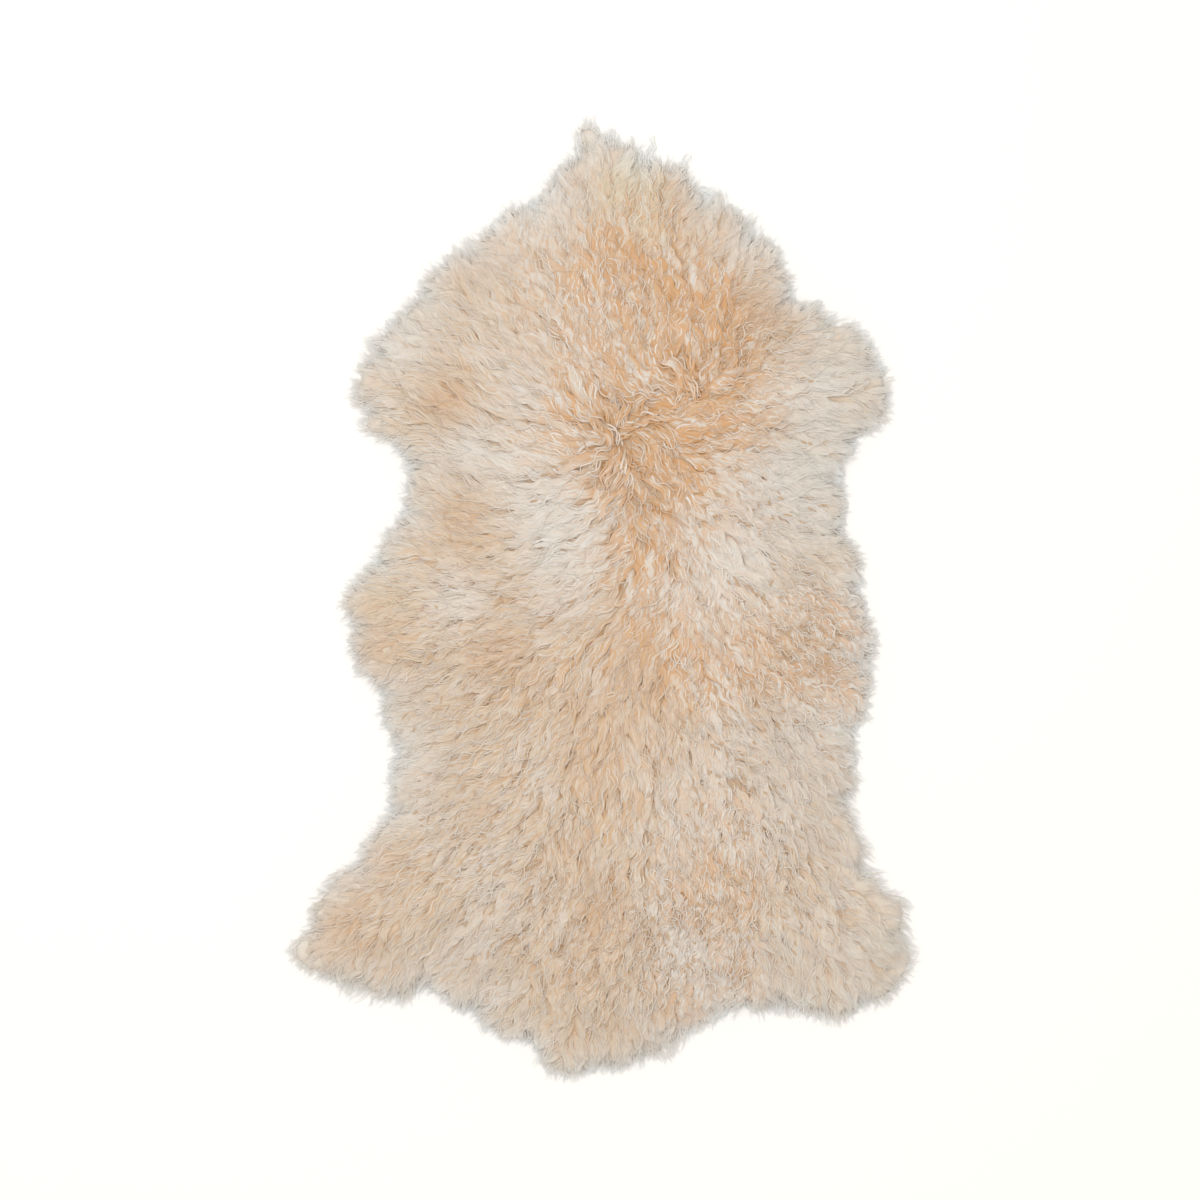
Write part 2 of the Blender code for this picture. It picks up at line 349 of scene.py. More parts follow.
def down_mesh():
    """A closed body on a square grid: its rim points are drawn in to lie evenly inside the wool's
    rim, its top follows the fleece at a share of its height, and its underside is flat."""
    across, along = (np.arange(chart_start[k], chart_end[k], DOWN_PITCH) for k in (0, 1))
    spots = np.stack(np.meshgrid(across, along, indexing="ij"), axis=-1)
    flat = spots.reshape(-1, 2)
    depth = read_chart(depth_chart, flat)
    short = np.clip(DOWN_FROM_RIM - depth, 0, None)
    moved = flat + inward(flat) * short[:, None]
    top = np.maximum(read_chart(height_chart, moved) * DOWN_SHARE, DOWN_FLOOR + DOWN_THINNEST)
    top = np.where(short > 0, DOWN_FLOOR + DOWN_RIM_THICKNESS, top)
    kept = (depth > DOWN_FROM_RIM).reshape(spots.shape[:2])
    cells = kept[:-1, :-1] | kept[1:, :-1] | kept[:-1, 1:] | kept[1:, 1:]
    number = np.arange(len(flat)).reshape(spots.shape[:2])
    body = bmesh.new()
    tops = [body.verts.new((*p, z)) for p, z in zip(moved, top)]
    for i, j in np.argwhere(cells):
        corners = number[i, j], number[i + 1, j], number[i + 1, j + 1], number[i, j + 1]
        body.faces.new([tops[c] for c in corners])
    bmesh.ops.delete(body, geom=[v for v in body.verts if not v.link_faces], context="VERTS")
    under = bmesh.ops.duplicate(body, geom=body.faces[:])["geom"]
    for vertex in (v for v in under if isinstance(v, bmesh.types.BMVert)):
        vertex.co.z = DOWN_FLOOR
    bmesh.ops.bridge_loops(body, edges=[e for e in body.edges if e.is_boundary])
    bmesh.ops.recalc_face_normals(body, faces=body.faces)
    made = bpy.data.meshes.new("down")
    body.to_mesh(made)
    body.free()
    made.shade_smooth()
    places = np.array([v.co[:2] for v in made.vertices])
    write_on(made, "rim", near_rim(places, RIM_FADE))
    return made


def number_on(tree, name):
    """What the points say under that name, for a material."""
    return grow(tree, "ShaderNodeAttribute", attribute_name=name).outputs["Fac"]


def down_wool():
    """Matted wool: apricot with cream clouds, pale at the rim, and a close fibrous bump."""
    made, tree, shader = new_material("down_wool", roughness=0.95, sheen=0.2)
    where = grow(tree, "ShaderNodeTexCoord").outputs["Object"]
    clouds = ranged(tree, noise(tree, where, grains=40, detail=4, roughness=0.6), low=0.35, high=0.65)
    colour = mixed(tree, clouds, DOWN_APRICOT, DOWN_CREAM)
    colour = mixed(tree, number_on(tree, "rim"), colour, DOWN_PALE)
    tree.links.new(colour, shader.inputs["Base Color"])
    fibres = noise(tree, where, grains=420, detail=5, roughness=0.7)
    raised(tree, shader, fibres, strength=0.7, depth=1.2 * MM)
    return made


down = new_object("down", down_mesh(), down_wool())
fixed_to_pelt(down)

# ---------------------------------------------------------------------------------------------
# The locks. Lambswool of this kind grows in crimped locks of long fibres, apricot at the root and
# bleached pale at the tip. They lie away from a whorl on the shoulders, over each other.
# ---------------------------------------------------------------------------------------------
# How the wool lies: (place, across and along in mm, heading in degrees from across, crimp and
# wave in mm)
LAY = (
    ("neck", -13, 427, 90, 1.1, 18),
    ("left of the neck", -68, 372, 115, 1.5, 18),
    ("right of the neck", 42, 372, 95, 1.7, 18),
    ("right cheek", 97, 372, 72, 1.3, 17),
    ("right of the cheek", 152, 317, 40, 1.1, 15),
    ("left cheek", -123, 317, 142, 0.7, 18),
    ("left of the nape", -68, 317, 133, 1.8, 19),
    ("nape", -13, 317, 106, 2.2, 21),
    ("right of the nape", 42, 317, 115, 2.4, 21),
    ("right shoulder, top", 97, 317, 110, 2.4, 20),
    ("left shoulder, top", -178, 262, 155, 0.6, 17),
    ("left shoulder", -123, 262, 140, 0.7, 18),
    ("left of the withers", -68, 262, 136, 1.6, 20),
    ("withers", -13, 262, 127, 2.4, 23),
    ("right of the withers", 42, 262, 112, 3.0, 24),
    ("right shoulder, middle", 97, 262, 106, 2.7, 22),
    ("right shoulder, outside", 135, 255, 60, 2.4, 20),
    ("right foreleg, top", 172, 262, 352, 0.9, 15),
    ("right foreleg", 235, 225, 358, 0.5, 16),
    ("left foreleg", -228, 237, 158, 0.4, 16),
    ("left foreleg, low", -178, 207, 151, 0.5, 17),
    ("left of the whorl, high", -88, 205, 155, 0.9, 19),
    ("left of the whorl, top", -36, 205, 134, 2.4, 24),
    ("over the whorl", 4, 205, 135, 2.7, 24),
    ("between the whorls, top", 42, 222, 145, 3.0, 24),
    ("left of the second whorl", 64, 214, 185, 3.0, 24),
    ("over the second whorl", 88, 240, 105, 2.7, 23),
    ("right of the second whorl", 116, 212, 20, 2.7, 22),
    ("right shoulder, low", 146, 205, 10, 2.2, 20),
    ("left ribs, top", -178, 152, 150, 0.6, 17),
    ("left ribs, high", -123, 152, 157, 0.8, 18),
    ("left of the whorl, low", -62, 160, 174, 2.2, 24),
    ("left edge of the whorl", -28, 168, 165, 2.4, 24),
    ("under the whorl's left", -14, 146, 205, 2.7, 24),
    ("right of the whorl", 32, 172, 345, 3.0, 24),
    ("between the whorls", 56, 180, 350, 3.0, 24),
    ("under the second whorl", 88, 180, 20, 2.7, 24),
    ("right of the whorls", 130, 172, 12, 2.2, 21),
    ("right ribs, top", 195, 152, 356, 0.8, 16),
    ("right of the whorl, low", 42, 145, 325, 3.0, 24),
    ("under the whorl", 12, 133, 270, 3.0, 24),
    ("left of the back line", -36, 120, 195, 2.2, 23),
    ("left back, high", -90, 109, 183, 1.0, 19),
    ("right of the back line", 64, 120, 318, 2.7, 24),
    ("right back, high", 115, 109, 335, 2.2, 21),
    ("left back", -123, 97, 172, 0.7, 18),
    ("left back line", -50, 85, 196, 1.1, 19),
    ("back line, high", 22, 97, 275, 3.0, 24),
    ("right back line", 50, 85, 305, 2.7, 24),
    ("right back", 125, 85, 333, 2.2, 21),
    ("right ribs", 207, 97, 343, 0.8, 16),
    ("left ribs", -178, 42, 166, 0.6, 16),
    ("left back, low", -62, 50, 204, 0.9, 18),
    ("left of the back line, low", -10, 50, 218, 2.2, 22),
    ("back line", 42, 42, 272, 2.4, 22),
    ("right back, low", 97, 42, 300, 2.2, 20),
    ("right back, outside", 150, 42, 317, 1.1, 18),
    ("right ribs, low", 207, 42, 325, 0.9, 15),
    ("left belly", -233, -13, 198, 0.7, 15),
    ("left loin", -123, -13, 195, 0.8, 17),
    ("loin", -13, -13, 221, 1.1, 18),
    ("back line, loin", 42, -13, 250, 2.0, 20),
    ("right loin", 97, -13, 303, 2.2, 20),
    ("right belly", 207, -13, 333, 2.7, 16),
    ("left belly, low", -178, -68, 207, 0.7, 16),
    ("rump", 12, -68, 250, 1.1, 18),
    ("right loin, low", 97, -68, 290, 2.2, 19),
    ("right belly, low", 207, -68, 332, 2.4, 16),
    ("left flank", -178, -133, 210, 0.6, 16),
    ("left rump", -68, -123, 238, 1.0, 18),
    ("middle rump", 42, -123, 280, 1.1, 18),
    ("right rump", 152, -123, 309, 1.1, 16),
    ("left thigh", -123, -233, 222, 0.8, 16),
    ("middle thigh", -13, -233, 268, 1.1, 17),
    ("right thigh", 97, -233, 288, 2.0, 18),
    ("right flank", 207, -233, 292, 0.8, 16),
    ("left hind leg", -233, -343, 228, 0.7, 15),
    ("left of the tail", -123, -343, 236, 0.8, 15),
    ("over the tail", -13, -343, 256, 1.1, 15),
    ("right of the tail", 97, -343, 278, 2.4, 16),
    ("right hind leg", 207, -343, 291, 0.9, 15),
    ("right hind tip", 262, -343, 312, 0.7, 15),
    ("tail", -13, -443, 262, 0.8, 15),
)
LAY_BLEND = 18 * MM
LAY_SHARPNESS = 2.5  # the higher, the more the nearest row of LAY counts
WHORL = np.array((8, 169)) * MM
WHORL_REACH = 11 * MM
# Where the wool is apricot: (place, across, along and reach in mm, how much)
APRICOT = (
    ("neck, right edge", 72, 424, 18, 0.8),
    ("neck, right of the middle", 58, 396, 22, 0.3),
    ("nape", 12, 355, 34, 0.65),
    ("right of the nape", 64, 312, 34, 0.7),
    ("right shoulder, top", 104, 290, 36, 1.0),
    ("right cheek, low", 160, 296, 30, 0.9),
    ("right shoulder, outside", 116, 248, 26, 0.8),
    ("right shoulder", 70, 225, 34, 1.0),
    ("right of the second whorl", 114, 208, 26, 1.0),
    ("whorl", 8, 172, 30, 1.0),
    ("between the whorls", 60, 180, 36, 0.9),
    ("under the second whorl", 90, 152, 26, 0.5),
    ("under the whorls", 62, 112, 30, 1.0),
    ("under the whorl", 14, 116, 26, 0.5),
    ("back line", 40, 60, 26, 0.4),
    ("left foreleg root", -158, 206, 28, 0.9),
    ("left back", -152, 92, 24, 0.6),
    ("left belly", -240, 2, 28, 0.8),
    ("left belly, low", -236, -46, 26, 0.7),
    ("left loin", -112, -42, 34, 0.7),
    ("left back, outside", -138, 50, 24, 0.5),
    ("left rump, outside", -138, -96, 28, 0.1),
    ("right rump, high", 62, -143, 24, 0.25),
    ("left rump", -70, -80, 24, 0.3),
    ("right of the back line", 156, -40, 22, 0.6),
    ("rump", 22, -10, 30, 0.5),
    ("rump, low", 34, -74, 46, 0.6),
    ("rump, left of the middle", -40, -98, 28, 0.3),
    ("rump, end", -12, -148, 34, 0.5),
    ("middle thigh", -38, -245, 28, 0.3),
    ("over the tail, high", -12, -295, 26, 0.3),
    ("right of the tail, below", 150, -392, 28, 0.5),
    ("over the tail", 0, -330, 40, 0.3),
    ("left hind leg, top", -244, -256, 34, 0.8),
    ("left hind leg", -285, -320, 36, 0.9),
    ("left cheek", -130, 345, 30, 0.8),
)
# Where it is pale, the same way
PALE = (
    ("withers", -12, 258, 34, 0.25),
    ("left of the nape, low", -60, 308, 32, 0.25),
    ("right shoulder, low", 162, 206, 22, 0.35),
    ("right loin, middle", 112, -42, 22, 0.4),
    ("back line, right", 66, 8, 22, 0.25),
    ("right belly, rim", 256, -42, 20, 0.5),
    ("over the tail, high right", 40, -294, 30, 0.3),
    ("neck, left", -42, 396, 34, 0.5),
    ("neck tip", 6, 458, 24, 0.5),
    ("left of the nape", -88, 354, 32, 0.4),
    ("left shoulder, outside", -186, 256, 34, 0.5),
    ("left shoulder, inside", -130, 292, 32, 0.25),
    ("right cheek", 132, 360, 32, 0.4),
    ("left of the withers", -82, 250, 30, 0.5),
    ("left shoulder", -90, 200, 34, 0.45),
    ("left ribs, high", -138, 156, 30, 0.9),
    ("left of the whorl", -66, 116, 46, 1.0),
    ("left of the back line", -40, 60, 42, 1.0),
    ("left back, low", -46, 20, 30, 0.2),
    ("left loin, outside", -148, 8, 36, 0.8),
    ("right of the whorls", 152, 124, 40, 0.6),
    ("right ribs, high", 200, 140, 40, 0.9),
    ("right back", 128, 60, 44, 0.9),
    ("right ribs", 200, 80, 36, 0.7),
    ("right foreleg", 214, 210, 40, 0.9),
    ("right foreleg, high", 236, 248, 40, 0.45),
    ("left foreleg", -214, 264, 30, 0.3),
    ("right loin", 96, 4, 36, 0.5),
    ("right loin, outside", 166, 8, 34, 0.5),
    ("right loin, low", 116, -140, 34, 0.4),
    ("right flank", 196, -128, 46, 0.8),
    ("right rump", 88, -202, 44, 0.6),
    ("right of the middle thigh", 66, -248, 28, 0.4),
    ("over the tail, right", 62, -343, 26, 0.5),
    ("right thigh", 180, -220, 44, 0.5),
    ("left flank", -190, -144, 38, 0.5),
    ("left thigh", -180, -198, 36, 0.2),
    ("left thigh, inside", -108, -238, 52, 0.2),
    ("left of the tail, high", -104, -304, 42, 0.3),
    ("right thigh, high", 160, -190, 26, 0.35),
    ("left of the tail", -138, -340, 34, 0.5),
    ("right of the tail", 100, -350, 46, 0.6),
    ("right hind leg, root", 190, -340, 40, 0.5),
    ("right hind leg, tip", 256, -340, 34, 0.5),
)
# And where it is straw-coloured
STRAW = (
    ("neck middle", 26, 424, 34, 1.0),
    ("nape", 42, 372, 22, 0.5),
    ("left of the back line", -20, 84, 20, 0.4),
    ("left belly", -226, 14, 26, 0.4),
    ("right hind leg", 276, -324, 24, 0.3),
)
LOCK_PITCH = 9.5 * MM
SCATTER = 0.36  # of the pitch, how far from an even grid a root is
LOCK_ROOTS_FROM_RIM = 27 * MM
LOCK_WAVES = 2.3  # how many waves long a lock is
LOCK_LENGTHS = (0.78, 1.22)  # of that length
LOCK_POINTS = 11
LOCK_STRAY = 9  # degrees either way from the lay
LOCK_SWERVE = 21  # degrees, to and fro along a lock
SWERVE_LENGTH = 52 * MM
SWERVE_LENGTHS = (0.7, 1.4)  # of that length
LOCK_LAYERS = 0.9 * MM  # how much higher or lower than its neighbours a lock may lie
LOCK_RISE = ((0, 0.15, 0.5, 0.85, 1), (0.88, 0.94, 0.98, 1.0, 0.96))  # of the fleece's height
LOWEST_LINE = 1.2 * MM
TIPS_PAST_RIM = (-6 * MM, 3 * MM)
RIM_TURN = 34 * MM  # this near the rim, the wool turns out over it
RIM_PULL = 1.1  # how strongly, against the lay's 1
WOOL_SEED = 11
TONE_PATCH = 9 * MM  # patches of locks with about the same tone are a few times this wide
TONE_OF_PATCH = 1.1
TONE_OF_LOCK = 0.25
LOOSE_AND_TIGHT = (0.7 * MM, 2.4 * MM)  # the crimp of loose and of tightly curled wool
CHANGE_OF_LOOSE_AND_TIGHT = (0.5, 1.35)

lay_places = np.array([row[1:3] for row in LAY]) * MM
lay_headings = np.radians([row[3] for row in LAY])
lay_crimps = np.array([row[4:6] for row in LAY]) * MM
chance = np.random.default_rng(WOOL_SEED)
tone_chart = blurred(chance.normal(0, 1, depth_chart.shape), TONE_PATCH)
tone_chart /= tone_chart.std()


def lay_of_wool(places):
    """The wool's heading as unit vectors, and its crimp and wave, from the nearest rows of LAY. Near
    the rim it turns out over it, and round the whorl it lies away from it."""
    away = np.linalg.norm(places[:, None] - lay_places[None], axis=2)
    weight = 1 / (away**2 + LAY_BLEND**2) ** LAY_SHARPNESS
    weight /= weight.sum(axis=1, keepdims=True)
    way = weight @ np.stack([np.cos(lay_headings), np.sin(lay_headings)], axis=1)
    from_whorl = places - WHORL
    reach = np.linalg.norm(from_whorl, axis=1, keepdims=True)
    near_whorl = np.exp(-((reach / WHORL_REACH) ** 2))
    way = way * (1 - near_whorl) + near_whorl * from_whorl / np.maximum(reach, MM)
    way = way - inward(places) * near_rim(places, RIM_TURN)[:, None] * RIM_PULL
    return unit(way), weight @ lay_crimps


def amount_at(places, rows):
    """How much of what the rows tell of there is at each place."""
    return sum(amount * bell(places, *spot) for _, *spot, amount in rows)


def scattered(pitch, from_rim, until=1.0):
    """Places on an uneven hexagonal grid, between those distances inside the rim."""
    row_pitch = pitch * math.sqrt(3) / 2
    rows, columns = np.meshgrid(
        np.arange(int((chart_end[1] - chart_start[1]) / row_pitch)),
        np.arange(int((chart_end[0] - chart_start[0]) / pitch)),
        indexing="ij",
    )
    across = chart_start[0] + (columns + rows % 2 / 2) * pitch
    places = np.stack([across, chart_start[1] + rows * row_pitch], axis=-1).reshape(-1, 2)
    places = places + chance.uniform(-SCATTER, SCATTER, (rows.size, 2)) * pitch
    depth = read_chart(depth_chart, places)
    return places[(depth > from_rim) & (depth < until)]


def combed(roots, length, lengths, stray, swerve, past_rim=TIPS_PAST_RIM, points=LOCK_POINTS):
    """The line that each lock follows over the pelt from its root: between two shares of the length
    long, with the lay, a little astray and swerving, and no further past the rim than it may."""
    count = len(roots)
    length = length * chance.uniform(*lengths, count)
    astray = np.radians(chance.normal(0, stray, count))
    phase = chance.uniform(0, 2 * np.pi, count)
    turn_length = SWERVE_LENGTH * chance.uniform(*SWERVE_LENGTHS, count)
    fine = 3 * points
    lines = [roots]
    for step in range(fine - 1):
        x, y = lay_of_wool(lines[-1])[0].T
        run = length * step / (fine - 1)
        angle = astray + np.radians(swerve) * np.sin(2 * np.pi * run / turn_length + phase)
        sine, cosine = np.sin(angle), np.cos(angle)
        turned = np.stack([x * cosine - y * sine, x * sine + y * cosine], axis=-1)
        lines.append(lines[-1] + turned * (length / (fine - 1))[:, None])
    lines = np.stack(lines, axis=1)
    depth = read_chart(depth_chart, lines.reshape(-1, 2)).reshape(count, fine)
    limit = -chance.uniform(*past_rim, count)
    beyond = depth < limit[:, None]
    stops = np.where(beyond.any(axis=1), beyond.argmax(axis=1), fine - 1)
    at = np.linspace(0, 1, points)[None] * np.maximum(stops, 2)[:, None]
    first = np.minimum(at.astype(int), fine - 2)
    share = (at - first)[..., None]
    row = np.arange(count)[:, None]
    return lines[row, first] * (1 - share) + lines[row, first + 1] * share


def evenness(places):
    """How much of their change from lock to lock the wool's height and tone keep: less where it is
    loose."""
    return np.interp(lay_of_wool(places)[1][:, 0], LOOSE_AND_TIGHT, CHANGE_OF_LOOSE_AND_TIGHT)


def tones(places):
    """Each lock's own tone, about -2 for apricot to 2 for pale: a patch's, and a little by chance."""
    own = read_chart(tone_chart, places) * TONE_OF_PATCH + chance.normal(0, TONE_OF_LOCK, len(places))
    return own * evenness(places)


def guides(name, lines, rise, layers, own, tone, crimp_and_wave):
    """A mesh of loose edges, one line of them for each lock, with what the tree reads on its points:
    crimp and wave (the lay's, if none is given), tints, how near the rim it is, and the lock's own
    number and tone. layers has how much higher than the fleece each lies, past its first third."""
    count, points = lines.shape[:2]
    flat = lines.reshape(-1, 2)
    share = np.linspace(0, 1, points)
    ground = read_chart(height_chart, flat).reshape(count, points)
    z = ground * np.interp(share, *rise)[None] + layers * np.clip(share * 3, 0, 1)[None]
    z = np.maximum(z, LOWEST_LINE)
    made = bpy.data.meshes.new(name)
    made.vertices.add(count * points)
    made.vertices.foreach_set("co", np.column_stack([flat, z.reshape(-1)]).astype(np.float32).ravel())
    starts = (np.arange(count)[:, None] * points + np.arange(points - 1)[None]).reshape(-1)
    made.edges.add(len(starts))
    made.edges.foreach_set("vertices", np.column_stack([starts, starts + 1]).astype(np.int32).ravel())
    lay = lay_of_wool(flat)[1] if crimp_and_wave is None else np.tile(crimp_and_wave, (len(flat), 1))
    numbers = {"ground": ground.reshape(-1), "crimp": lay[:, 0], "wave": lay[:, 1]}
    for tint, rows in (("apricot", APRICOT), ("pale", PALE), ("straw", STRAW)):
        numbers[tint] = np.clip(amount_at(flat, rows), 0, 1)
    numbers["rim"] = near_rim(flat, RIM_FADE)
    numbers["own"] = np.repeat(own, points)
    numbers["tone"] = np.repeat(tone, points)
    for number, values in numbers.items():
        write_on(made, number, values)
    return made


def math_of(tree, operation, *values):
    """The result of an operation on values, each of them a number or an output."""
    return grow(tree, "ShaderNodeMath", dict(enumerate(values)), operation=operation).outputs[0]


def vector(tree, **parts):
    """A vector from its X, Y and Z, each a number or an output; those left out are 0."""
    return grow(tree, "ShaderNodeCombineXYZ", parts).outputs[0]


# The inputs of the tree that grows the strands of locks, by kind
TREE_INPUTS = {
    "Geometry": ("Guides",),
    "Int": ("Strands", "Steps", "Across", "Seed"),
    "Float": ("Width", "Arch", "Radius", "Lift", "Crimp", "Curl", "Unruly", "Drift", "Roll", "Floor"),
    "Material": ("Wool",),
}
# Lines of (share along the strand, value)
GATHER = ((0, 0.55), (0.35, 1), (0.75, 0.75), (1, 0.4))  # how far apart the strands of a lock are
SWING = ((0, 0.15), (0.3, 0.8), (0.8, 1), (1, 0.9))  # how much of its crimp a strand has
TAPER = ((0, 0.2), (0.3, 1), (0.75, 0.75), (1, 0.08))  # how wide it is
OF_EACH_STRAND = (0.7, 1.25)  # its share of the lock's crimp and width
WAVE_OF_STRAND = (0.97, 1.03)
LIFT_OF_STRAND = (0, 0.7)
CRIMP_UPWARDS = 0.35  # of the crimp to the side
ROLL_WITH_CRIMP = 0.6
ROLL_OF_STRAND = (-0.8, 0.8)
STRAIGHT_WIDTH = 0.75  # of the given width, for wool without crimp
WIDTH_BY_CRIMP = 250.0  # how much more of it, for each metre of crimp
LOST_AT_RIM = 0.2  # how much less of it at the rim


def lock_tree():
    """Grows the strands of a lock round each guide line: it copies the line, spreads the copies
    over the lock's width and draws them together at the tip, crimps them, and makes each a ribbon."""
    tree = bpy.data.node_groups.new("wool_locks", "GeometryNodeTree")
    for kind, names in TREE_INPUTS.items():
        for name in names:
            tree.interface.new_socket(name, in_out="INPUT", socket_type="NodeSocket" + kind)
    tree.interface.new_socket("Locks", in_out="OUTPUT", socket_type="NodeSocketGeometry")
    given = tree.nodes.new("NodeGroupInput").outputs
    seeds = itertools.count(1)

    def times(*values):
        return reduce(lambda first, second: math_of(tree, "MULTIPLY", first, second), values)

    def plus(first, second):
        return math_of(tree, "ADD", first, second)

    def minus(first, second):
        return math_of(tree, "SUBTRACT", first, second)

    def vector_of(operation, *vectors):
        return grow(tree, "ShaderNodeVectorMath", dict(enumerate(vectors)), operation=operation).outputs[0]

    def scaled(way, by):
        made = grow(tree, "ShaderNodeVectorMath", {"Vector": way, "Scale": by}, operation="SCALE")
        return made.outputs[0]

    def geometry(kind, inputs=None, **settings):
        """What a geometry node gives out first."""
        return grow(tree, "GeometryNode" + kind, inputs, **settings).outputs[0]

    def told(name):
        """What the guide lines say under that name."""
        return geometry("InputNamedAttribute", {"Name": name}, data_type="FLOAT")

    def held_on(shape, *values):
        """The shape with each (kind, field) read off now, and those readings."""
        made = grow(tree, "GeometryNodeCaptureAttribute", {"Geometry": shape})
        for number, (kind, value) in enumerate(values):
            made.capture_items.new(kind, str(number))
            tree.links.new(value, made.inputs[str(number)])
        return made.outputs["Geometry"], *(made.outputs[str(n)] for n in range(len(values)))

    def one_each(lowest, highest):
        """A random number that is the same all along a strand."""
        ends = {2: lowest, 3: highest, "Seed": plus(given["Seed"], next(seeds))}
        made = grow(tree, "FunctionNodeRandomValue", ends, data_type="FLOAT")
        return geometry("FieldOnDomain", {0: made.outputs[1]}, domain="CURVE", data_type="FLOAT")

    def profile(along, line):
        """A smooth line through its points, read at a share along the strand."""
        made = grow(tree, "ShaderNodeFloatCurve", {"Value": along})
        curve = made.mapping.curves[0]
        for _ in range(len(line) - 2):
            curve.points.new(0.5, 0.5)
        for point, place in zip(curve.points, line):
            point.location = place
        made.mapping.update()
        return made.outputs["Value"]

    curves = geometry("MeshToCurve", {"Mesh": given["Guides"]})
    evened = geometry("ResampleCurve", {"Curve": curves, "Count": given["Steps"]})
    copied = geometry(
        "DuplicateElements", {"Geometry": evened, "Amount": given["Strands"]}, domain="SPLINE"
    )
    spline = tree.nodes.new("GeometryNodeSplineParameter").outputs
    strands, along, run, heading, strand = held_on(
        copied,
        ("FLOAT", spline["Factor"]),
        ("FLOAT", spline["Length"]),
        ("VECTOR", geometry("InputTangent")),
        ("FLOAT", one_each(0, 1)),
    )

    side = vector_of("NORMALIZE", vector_of("CROSS_PRODUCT", heading, vector(tree, Z=1.0)))
    up = vector_of("CROSS_PRODUCT", side, heading)
    place = one_each(-1, 1)
    gather = profile(along, GATHER)
    aside = times(given["Radius"], gather, place)
    aside = plus(aside, times(given["Drift"], along, one_each(-1, 1)))
    round_off = minus(1, times(place, place))
    above = times(given["Lift"], plus(round_off, one_each(*LIFT_OF_STRAND)), gather)

    turns = math_of(tree, "DIVIDE", run, times(told("wave"), one_each(*WAVE_OF_STRAND)))
    start = plus(told("own"), times(given["Unruly"], one_each(-1, 1)))
    phase = times(plus(turns, start), 2 * math.pi)
    swing = times(told("crimp"), profile(along, SWING), given["Crimp"], one_each(*OF_EACH_STRAND))
    crimp_on = times(swing, math_of(tree, "COSINE", phase))
    sideways = scaled(side, plus(aside, times(swing, math_of(tree, "SINE", phase))))
    upwards = scaled(up, plus(above, times(crimp_on, CRIMP_UPWARDS)))
    onwards = scaled(heading, times(crimp_on, given["Curl"]))
    offset = vector_of("ADD", vector_of("ADD", sideways, upwards), onwards)
    moved = geometry("SetPosition", {"Geometry": strands, "Offset": offset})
    where = geometry("InputPosition")
    at = grow(tree, "ShaderNodeSeparateXYZ", {"Vector": where}).outputs
    off_floor = vector(tree, X=at["X"], Y=at["Y"], Z=math_of(tree, "MAXIMUM", at["Z"], given["Floor"]))
    laid = geometry("SetPosition", {"Geometry": moved, "Position": off_floor})
    upright = geometry("SetCurveNormal", {"Curve": laid}, mode="Z_UP")
    roll = plus(times(math_of(tree, "COSINE", phase), ROLL_WITH_CRIMP), one_each(*ROLL_OF_STRAND))
    tilted = geometry("SetCurveTilt", {"Curve": upright, "Tilt": times(roll, given["Roll"])})
    thick = times(
        profile(along, TAPER),
        one_each(*OF_EACH_STRAND),
        plus(STRAIGHT_WIDTH, times(told("crimp"), WIDTH_BY_CRIMP)),
        minus(1, times(told("rim"), LOST_AT_RIM)),
    )

    half = math_of(tree, "DIVIDE", given["Width"], 2)
    ends = {"Start": vector(tree, X=times(half, -1)), "End": vector(tree, X=half)}
    flat = geometry("CurvePrimitiveLine", ends)
    parted = geometry("ResampleCurve", {"Curve": flat, "Count": given["Across"]})
    factor = tree.nodes.new("GeometryNodeSplineParameter").outputs["Factor"]
    section, across = held_on(parted, ("FLOAT", factor))
    arch = vector(tree, Y=times(times(across, minus(1, across), -4), given["Arch"]))
    arched = geometry("SetPosition", {"Geometry": section, "Offset": arch})
    made = geometry("CurveToMesh", {"Curve": tilted, "Profile Curve": arched, "Scale": thick})
    sunk = minus(told("ground"), grow(tree, "ShaderNodeSeparateXYZ", {"Vector": where}).outputs["Z"])
    for name, value in {"along": along, "across": across, "strand": strand, "sunk": sunk}.items():
        made = geometry("StoreNamedAttribute", {"Geometry": made, "Name": name, "Value": value})
    made = geometry("SetShadeSmooth", {"Geometry": made})
    made = geometry("RealizeInstances", {"Geometry": made})
    made = geometry("SetMaterial", {"Geometry": made, "Material": given["Wool"]})
    tree.links.new(made, tree.nodes.new("NodeGroupOutput").inputs[0])
    return tree


locks_of_wool = lock_tree()


def grown(name, lines, layers, own, tone, rise=LOCK_RISE, crimp_and_wave=None, **sizes):
    """A piece of wool: what the tree grows on guide lines, as a plain mesh object. sizes are the
    tree's inputs, and those left out are 0."""
    lines_mesh = guides(name, lines, rise, layers, own, tone, crimp_and_wave)
    carrier = in_scene(name + "_guides", lines_mesh)
    modifier = carrier.modifiers.new("locks", "NODES")
    modifier.node_group = locks_of_wool
    for socket in locks_of_wool.interface.items_tree:
        if socket.name.lower() in sizes:
            modifier[socket.identifier] = sizes[socket.name.lower()]
    shown = carrier.evaluated_get(bpy.context.evaluated_depsgraph_get())
    mesh = bpy.data.meshes.new_from_object(shown)
    carrier.modifiers.remove(modifier)
    bpy.data.objects.remove(carrier)
    bpy.data.meshes.remove(lines_mesh)
    made = in_scene(name, mesh)
    fixed_to_pelt(made)


